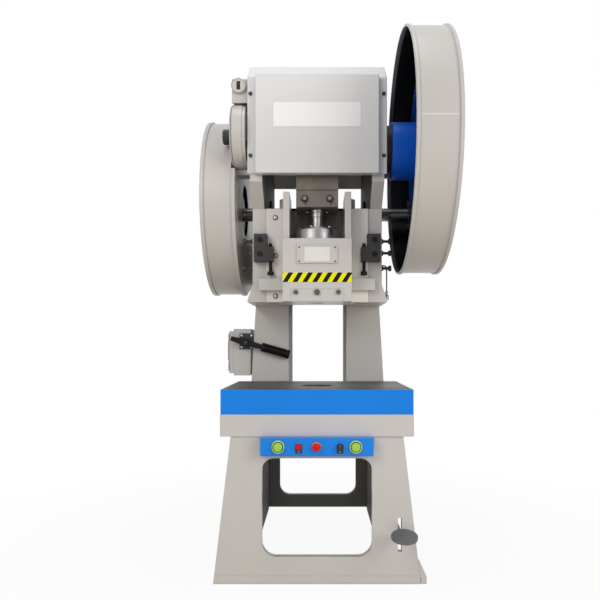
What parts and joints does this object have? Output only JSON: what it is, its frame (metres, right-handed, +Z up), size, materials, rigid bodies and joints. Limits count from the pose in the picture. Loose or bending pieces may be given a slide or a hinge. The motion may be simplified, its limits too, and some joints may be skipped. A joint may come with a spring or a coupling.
{
  "type": "mechanical stamping press",
  "caption": "Open-back fixed-bed C-frame crank press on a flared window base, with a guided slide, blue bolster, drum-shaped gear and flywheel guards, and a two-hand control panel.",
  "frame": {"origin": "on the floor, at the centre of the four anchor holes", "axes": "+Z up, -Y towards the operator, +X to the operator's right, where the gear guard is"},
  "size_m": [1.171, 1.732, 2.58],
  "materials": {
    "paint_grey": "warm light grey gloss enamel",
    "paint_blue": "blue gloss enamel",
    "wheel_blue": "blue gloss enamel",
    "black_paint": "black enamel",
    "machined_steel": "machined, lightly oiled",
    "bright_steel": "turned bright",
    "black_steel": "blackened fastener steel",
    "cast_body": "machined cast iron",
    "bronze": "bearing bronze",
    "friction_lining": "brake lining on a steel band",
    "belt_rubber": "matt rubber",
    "lamp_black": "black anodised",
    "green_plastic": "lime green",
    "red_plastic": "red",
    "black_plastic": "black"
  },
  "bodies": {
    "press": {"base_front_plate": "paint_grey", "base_rear_plate": "paint_grey", "base_side_plates": "paint_grey", "anchor_feet": "paint_grey", "table_plate": "paint_grey", "bolster_plate": "paint_blue", "frame_side_right": "paint_grey", "frame_side_left": "paint_grey", "rear_tie_plate": "paint_grey", "head_rear_plate": "paint_grey", "head_front_cover": "paint_grey", "head_top_cover": "paint_grey", "cover_screws": "black_steel", "front_gibs": "machined_steel", "rear_gibs": "machined_steel", "gib_bolts": "black_steel", "gib_adjusters": "black_steel", "stop_brackets": "black_paint", "stop_bolts": "black_steel", "connecting_rod": "cast_body", "rod_clamp_cap": "machined_steel", "rod_bolts": "black_steel", "crankshaft": "machined_steel", "crank_bushes": "bronze", "countershaft_bearings": "paint_grey", "drive_belts": "belt_rubber", "motor": "paint_grey", "gear_guard": "paint_grey", "flywheel_guard": "paint_grey", "guard_brackets": "paint_grey", "brake_drum": "cast_body", "brake_band": "friction_lining", "brake_bracket": "paint_grey", "shaft_end_cap": "black_paint", "electrical_cabinet": "paint_grey", "lamp_bracket": "black_paint", "control_panel": "paint_blue", "pedal_bracket": "machined_steel"},
    "ram": {"slide": "paint_grey", "ball_screw": "bright_steel", "ball_nut": "bright_steel", "ball_seat": "bronze", "slide_cover_plate": "bright_steel", "shank_clamp": "paint_grey", "shank_clamp_bolts": "black_steel"},
    "ejector": {"knockout_bar": "machined_steel"},
    "gear": {"bull_gear": "wheel_blue", "clutch_ring": "black_paint"},
    "drive": {"pinion_shaft": "machined_steel", "flywheel": "wheel_blue"},
    "motor_rotor": {"motor_pulley": "cast_body"},
    "door": {"cabinet_door": "paint_grey"},
    "lamp_link": {"lamp_arm": "lamp_black"},
    "lamp_lantern": {"lamp_head": "lamp_black"},
    "palm_left": {"palm_button_left": "green_plastic"},
    "palm_right": {"palm_button_right": "green_plastic"},
    "stop": {"emergency_stop": "red_plastic"},
    "start": {"start_button": "red_plastic"},
    "selector": {"selector_switch": "black_plastic"},
    "pedal": {"foot_pedal": "machined_steel"}
  },
  "joints": [
    {"name": "slide_travel", "type": "slide", "parent": "press", "child": "ram", "axis": [0, 0, -1], "range_m": [0, 0.13]},
    {"name": "bar_travel", "type": "slide", "parent": "ram", "child": "ejector", "axis": [0, 0, 1], "range_m": [0, 0.016]},
    {"name": "flywheel_spin", "type": "hinge", "parent": "press", "child": "drive", "pos_m": [-0.484, 0.0458, 1.792], "axis": [1, 0, 0], "continuous": true},
    {"name": "gear_spin", "type": "hinge", "parent": "press", "child": "gear", "pos_m": [0.545, -0.39, 2.016], "axis": [1, 0, 0], "continuous": true},
    {"name": "motor_spin", "type": "hinge", "parent": "press", "child": "motor_rotor", "pos_m": [-0.484, 0.632, 1.589], "axis": [1, 0, 0], "continuous": true},
    {"name": "door_hinge", "type": "hinge", "parent": "press", "child": "door", "pos_m": [-0.487, 0.335, 1.0265], "axis": [0, 0, -1], "range_deg": [0, 110]},
    {"name": "lamp_tilt", "type": "hinge", "parent": "press", "child": "lamp_link", "pos_m": [-0.391, -0.042, 1.08], "axis": [0, 1, 0], "range_deg": [-30, 12]},
    {"name": "lamp_swivel", "type": "hinge", "parent": "lamp_link", "child": "lamp_lantern", "pos_m": [-0.391, -0.042, 1.08], "axis": [0.9636, 0, -0.2672], "range_deg": [-90, 90]},
    {"name": "palm_left_press", "type": "slide", "parent": "press", "child": "palm_left", "axis": [0, 1, 0], "range_m": [0, 0.006], "stiffness_N_per_m": 900, "springref_m": -0.006},
    {"name": "palm_right_press", "type": "slide", "parent": "press", "child": "palm_right", "axis": [0, 1, 0], "range_m": [0, 0.006], "stiffness_N_per_m": 900, "springref_m": -0.006},
    {"name": "stop_press", "type": "slide", "parent": "press", "child": "stop", "axis": [0, 1, 0], "range_m": [0, 0.006], "stiffness_N_per_m": 900, "springref_m": -0.006},
    {"name": "start_press", "type": "slide", "parent": "press", "child": "start", "axis": [0, 1, 0], "range_m": [0, 0.004], "stiffness_N_per_m": 500, "springref_m": -0.004},
    {"name": "selector_turn", "type": "hinge", "parent": "press", "child": "selector", "pos_m": [0.101, -0.742, 0.622], "axis": [0, 1, 0], "range_deg": [-45, 45]},
    {"name": "pedal_press", "type": "hinge", "parent": "press", "child": "pedal", "pos_m": [0.37, -0.332, 0.226], "axis": [1, 0, 0], "range_deg": [0, 7], "stiffness_Nm_per_rad": 80, "springref_deg": -11.46}
  ],
  "couplings": [
    {"joint": "gear_spin", "follows": "flywheel_spin", "ratio": -0.16667},
    {"joint": "motor_spin", "follows": "flywheel_spin", "ratio": 5.0413}
  ]
}
